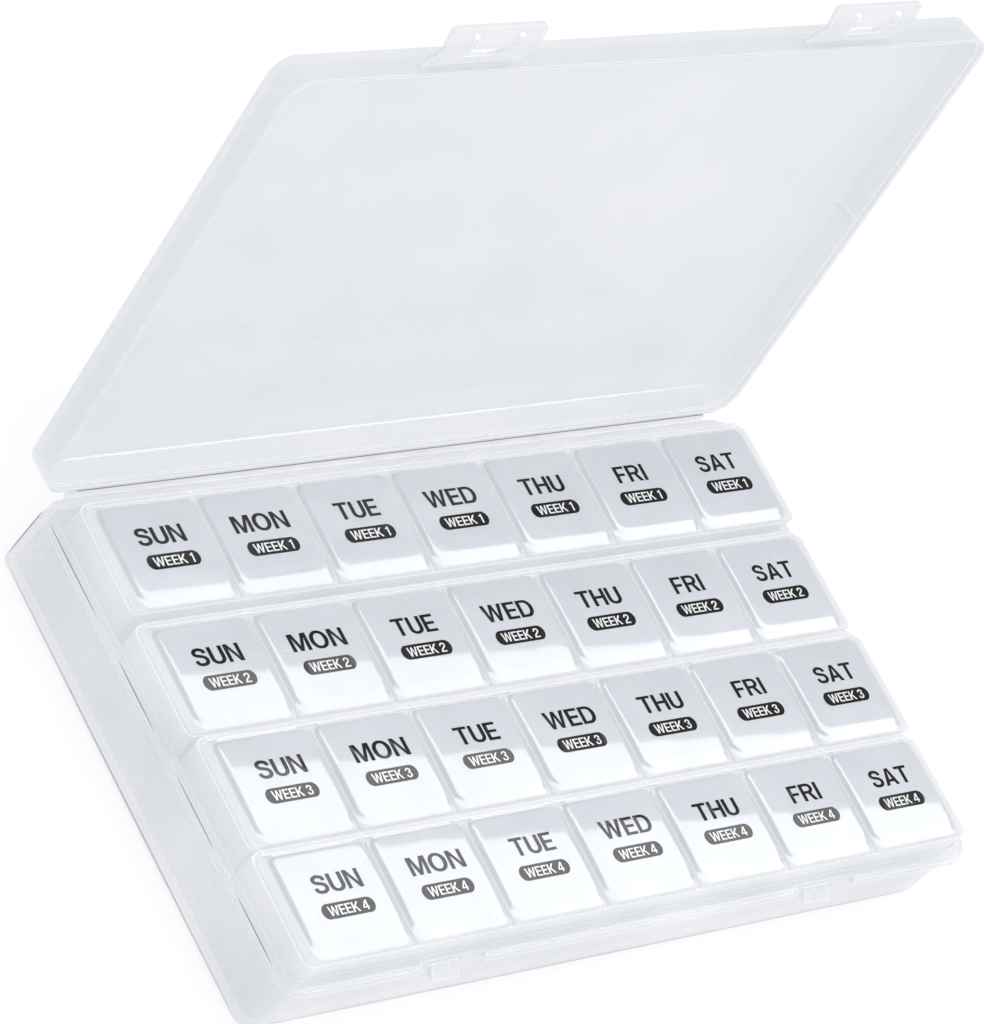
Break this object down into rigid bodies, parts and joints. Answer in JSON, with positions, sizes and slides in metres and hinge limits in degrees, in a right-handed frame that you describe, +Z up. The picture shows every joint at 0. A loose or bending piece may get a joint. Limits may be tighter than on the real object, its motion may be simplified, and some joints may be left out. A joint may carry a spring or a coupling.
{
  "type": "monthly pill organizer",
  "caption": "Flat translucent case with a hinged snap-shut cover, holding loose week trays whose day compartments each have a flip-up lid.",
  "frame": {"origin": "on the case base's flat underside, midway between its end walls and midway between the rim's front and back edges", "axes": "+X along the rows of day lids from SUN to SAT, +Y towards the cover's hinge, +Z up"},
  "size_m": [0.1782, 0.1275, 0.1309],
  "materials": {
    "case_plastic": "translucent natural polypropylene, glossy with faint flow marks",
    "cover_plastic": "translucent natural polypropylene, glossy with faint mottling",
    "film_plastic": "thin flexed polypropylene",
    "latch_plastic": "translucent natural polypropylene, glossy",
    "tray_plastic": "translucent natural polypropylene, glossy",
    "lid_plastic": "translucent natural polypropylene, glossy"
  },
  "bodies": {
    "case_base": {"case_base": "case_plastic", "case_hinge_web": "film_plastic"},
    "case_lid": {"case_lid": "cover_plastic", "latch_left_film": "film_plastic", "latch_right_film": "film_plastic"},
    "latch_left": {"latch_left": "latch_plastic"},
    "latch_right": {"latch_right": "latch_plastic"},
    "week_1_tray": {"week_1_tray": "tray_plastic", "week_1_hinge_films": "film_plastic"},
    "week_2_tray": {"week_2_tray": "tray_plastic", "week_2_hinge_films": "film_plastic"},
    "week_3_tray": {"week_3_tray": "tray_plastic", "week_3_hinge_films": "film_plastic"},
    "week_4_tray": {"week_4_tray": "tray_plastic", "week_4_hinge_films": "film_plastic"},
    "week_1_sun_lid": {"week_1_sun_lid": "lid_plastic"},
    "week_1_mon_lid": {"week_1_mon_lid": "lid_plastic"},
    "week_1_tue_lid": {"week_1_tue_lid": "lid_plastic"},
    "week_1_wed_lid": {"week_1_wed_lid": "lid_plastic"},
    "week_1_thu_lid": {"week_1_thu_lid": "lid_plastic"},
    "week_1_fri_lid": {"week_1_fri_lid": "lid_plastic"},
    "week_1_sat_lid": {"week_1_sat_lid": "lid_plastic"},
    "week_2_sun_lid": {"week_2_sun_lid": "lid_plastic"},
    "week_2_mon_lid": {"week_2_mon_lid": "lid_plastic"},
    "week_2_tue_lid": {"week_2_tue_lid": "lid_plastic"},
    "week_2_wed_lid": {"week_2_wed_lid": "lid_plastic"},
    "week_2_thu_lid": {"week_2_thu_lid": "lid_plastic"},
    "week_2_fri_lid": {"week_2_fri_lid": "lid_plastic"},
    "week_2_sat_lid": {"week_2_sat_lid": "lid_plastic"},
    "week_3_sun_lid": {"week_3_sun_lid": "lid_plastic"},
    "week_3_mon_lid": {"week_3_mon_lid": "lid_plastic"},
    "week_3_tue_lid": {"week_3_tue_lid": "lid_plastic"},
    "week_3_wed_lid": {"week_3_wed_lid": "lid_plastic"},
    "week_3_thu_lid": {"week_3_thu_lid": "lid_plastic"},
    "week_3_fri_lid": {"week_3_fri_lid": "lid_plastic"},
    "week_3_sat_lid": {"week_3_sat_lid": "lid_plastic"},
    "week_4_sun_lid": {"week_4_sun_lid": "lid_plastic"},
    "week_4_mon_lid": {"week_4_mon_lid": "lid_plastic"},
    "week_4_tue_lid": {"week_4_tue_lid": "lid_plastic"},
    "week_4_wed_lid": {"week_4_wed_lid": "lid_plastic"},
    "week_4_thu_lid": {"week_4_thu_lid": "lid_plastic"},
    "week_4_fri_lid": {"week_4_fri_lid": "lid_plastic"},
    "week_4_sat_lid": {"week_4_sat_lid": "lid_plastic"}
  },
  "joints": [
    {"name": "case_lid_hinge", "type": "hinge", "parent": "case_base", "child": "case_lid", "pos_m": [0, 0.0525, 0.01645], "axis": [-1, 0, 0], "range_deg": [-98.5, 81.5]},
    {"name": "latch_left_hinge", "type": "hinge", "parent": "case_lid", "child": "latch_left", "pos_m": [-0.0484, 0.06997, 0.1201], "axis": [-1, 0, 0], "range_deg": [-67, 50]},
    {"name": "latch_right_hinge", "type": "hinge", "parent": "case_lid", "child": "latch_right", "pos_m": [0.0484, 0.06997, 0.1201], "axis": [-1, 0, 0], "range_deg": [-67, 50]},
    {"name": "week_1_lift_out", "type": "slide", "parent": "case_base", "child": "week_1_tray", "axis": [0, 0, 1], "range_m": [0, 0.03]},
    {"name": "week_2_lift_out", "type": "slide", "parent": "case_base", "child": "week_2_tray", "axis": [0, 0, 1], "range_m": [0, 0.03]},
    {"name": "week_3_lift_out", "type": "slide", "parent": "case_base", "child": "week_3_tray", "axis": [0, 0, 1], "range_m": [0, 0.03]},
    {"name": "week_4_lift_out", "type": "slide", "parent": "case_base", "child": "week_4_tray", "axis": [0, 0, 1], "range_m": [0, 0.03]},
    {"name": "week_1_sun_lid_hinge", "type": "hinge", "parent": "week_1_tray", "child": "week_1_sun_lid", "pos_m": [-0.07095, 0.04632, 0.02095], "axis": [-1, 0, 0], "range_deg": [0, 100]},
    {"name": "week_1_mon_lid_hinge", "type": "hinge", "parent": "week_1_tray", "child": "week_1_mon_lid", "pos_m": [-0.04695, 0.04632, 0.02095], "axis": [-1, 0, 0], "range_deg": [0, 100]},
    {"name": "week_1_tue_lid_hinge", "type": "hinge", "parent": "week_1_tray", "child": "week_1_tue_lid", "pos_m": [-0.02295, 0.04632, 0.02095], "axis": [-1, 0, 0], "range_deg": [0, 100]},
    {"name": "week_1_wed_lid_hinge", "type": "hinge", "parent": "week_1_tray", "child": "week_1_wed_lid", "pos_m": [0.00105, 0.04632, 0.02095], "axis": [-1, 0, 0], "range_deg": [0, 100]},
    {"name": "week_1_thu_lid_hinge", "type": "hinge", "parent": "week_1_tray", "child": "week_1_thu_lid", "pos_m": [0.02505, 0.04632, 0.02095], "axis": [-1, 0, 0], "range_deg": [0, 100]},
    {"name": "week_1_fri_lid_hinge", "type": "hinge", "parent": "week_1_tray", "child": "week_1_fri_lid", "pos_m": [0.04905, 0.04632, 0.02095], "axis": [-1, 0, 0], "range_deg": [0, 100]},
    {"name": "week_1_sat_lid_hinge", "type": "hinge", "parent": "week_1_tray", "child": "week_1_sat_lid", "pos_m": [0.07305, 0.04632, 0.02095], "axis": [-1, 0, 0], "range_deg": [0, 100]},
    {"name": "week_2_sun_lid_hinge", "type": "hinge", "parent": "week_2_tray", "child": "week_2_sun_lid", "pos_m": [-0.0722, 0.02077, 0.02095], "axis": [-1, 0, 0], "range_deg": [0, 100]},
    {"name": "week_2_mon_lid_hinge", "type": "hinge", "parent": "week_2_tray", "child": "week_2_mon_lid", "pos_m": [-0.0482, 0.02077, 0.02095], "axis": [-1, 0, 0], "range_deg": [0, 100]},
    {"name": "week_2_tue_lid_hinge", "type": "hinge", "parent": "week_2_tray", "child": "week_2_tue_lid", "pos_m": [-0.0242, 0.02077, 0.02095], "axis": [-1, 0, 0], "range_deg": [0, 100]},
    {"name": "week_2_wed_lid_hinge", "type": "hinge", "parent": "week_2_tray", "child": "week_2_wed_lid", "pos_m": [-0.0002, 0.02077, 0.02095], "axis": [-1, 0, 0], "range_deg": [0, 100]},
    {"name": "week_2_thu_lid_hinge", "type": "hinge", "parent": "week_2_tray", "child": "week_2_thu_lid", "pos_m": [0.0238, 0.02077, 0.02095], "axis": [-1, 0, 0], "range_deg": [0, 100]},
    {"name": "week_2_fri_lid_hinge", "type": "hinge", "parent": "week_2_tray", "child": "week_2_fri_lid", "pos_m": [0.0478, 0.02077, 0.02095], "axis": [-1, 0, 0], "range_deg": [0, 100]},
    {"name": "week_2_sat_lid_hinge", "type": "hinge", "parent": "week_2_tray", "child": "week_2_sat_lid", "pos_m": [0.0718, 0.02077, 0.02095], "axis": [-1, 0, 0], "range_deg": [0, 100]},
    {"name": "week_3_sun_lid_hinge", "type": "hinge", "parent": "week_3_tray", "child": "week_3_sun_lid", "pos_m": [-0.07135, -0.00303, 0.02095], "axis": [-1, 0, 0], "range_deg": [0, 100]},
    {"name": "week_3_mon_lid_hinge", "type": "hinge", "parent": "week_3_tray", "child": "week_3_mon_lid", "pos_m": [-0.04735, -0.00303, 0.02095], "axis": [-1, 0, 0], "range_deg": [0, 100]},
    {"name": "week_3_tue_lid_hinge", "type": "hinge", "parent": "week_3_tray", "child": "week_3_tue_lid", "pos_m": [-0.02335, -0.00303, 0.02095], "axis": [-1, 0, 0], "range_deg": [0, 100]},
    {"name": "week_3_wed_lid_hinge", "type": "hinge", "parent": "week_3_tray", "child": "week_3_wed_lid", "pos_m": [0.00065, -0.00303, 0.02095], "axis": [-1, 0, 0], "range_deg": [0, 100]},
    {"name": "week_3_thu_lid_hinge", "type": "hinge", "parent": "week_3_tray", "child": "week_3_thu_lid", "pos_m": [0.02465, -0.00303, 0.02095], "axis": [-1, 0, 0], "range_deg": [0, 100]},
    {"name": "week_3_fri_lid_hinge", "type": "hinge", "parent": "week_3_tray", "child": "week_3_fri_lid", "pos_m": [0.04865, -0.00303, 0.02095], "axis": [-1, 0, 0], "range_deg": [0, 100]},
    {"name": "week_3_sat_lid_hinge", "type": "hinge", "parent": "week_3_tray", "child": "week_3_sat_lid", "pos_m": [0.07265, -0.00303, 0.02095], "axis": [-1, 0, 0], "range_deg": [0, 100]},
    {"name": "week_4_sun_lid_hinge", "type": "hinge", "parent": "week_4_tray", "child": "week_4_sun_lid", "pos_m": [-0.072, -0.02673, 0.02095], "axis": [-1, 0, 0], "range_deg": [0, 100]},
    {"name": "week_4_mon_lid_hinge", "type": "hinge", "parent": "week_4_tray", "child": "week_4_mon_lid", "pos_m": [-0.048, -0.02673, 0.02095], "axis": [-1, 0, 0], "range_deg": [0, 100]},
    {"name": "week_4_tue_lid_hinge", "type": "hinge", "parent": "week_4_tray", "child": "week_4_tue_lid", "pos_m": [-0.024, -0.02673, 0.02095], "axis": [-1, 0, 0], "range_deg": [0, 100]},
    {"name": "week_4_wed_lid_hinge", "type": "hinge", "parent": "week_4_tray", "child": "week_4_wed_lid", "pos_m": [0, -0.02673, 0.02095], "axis": [-1, 0, 0], "range_deg": [0, 100]},
    {"name": "week_4_thu_lid_hinge", "type": "hinge", "parent": "week_4_tray", "child": "week_4_thu_lid", "pos_m": [0.024, -0.02673, 0.02095], "axis": [-1, 0, 0], "range_deg": [0, 100]},
    {"name": "week_4_fri_lid_hinge", "type": "hinge", "parent": "week_4_tray", "child": "week_4_fri_lid", "pos_m": [0.048, -0.02673, 0.02095], "axis": [-1, 0, 0], "range_deg": [0, 100]},
    {"name": "week_4_sat_lid_hinge", "type": "hinge", "parent": "week_4_tray", "child": "week_4_sat_lid", "pos_m": [0.072, -0.02673, 0.02095], "axis": [-1, 0, 0], "range_deg": [0, 100]}
  ]
}
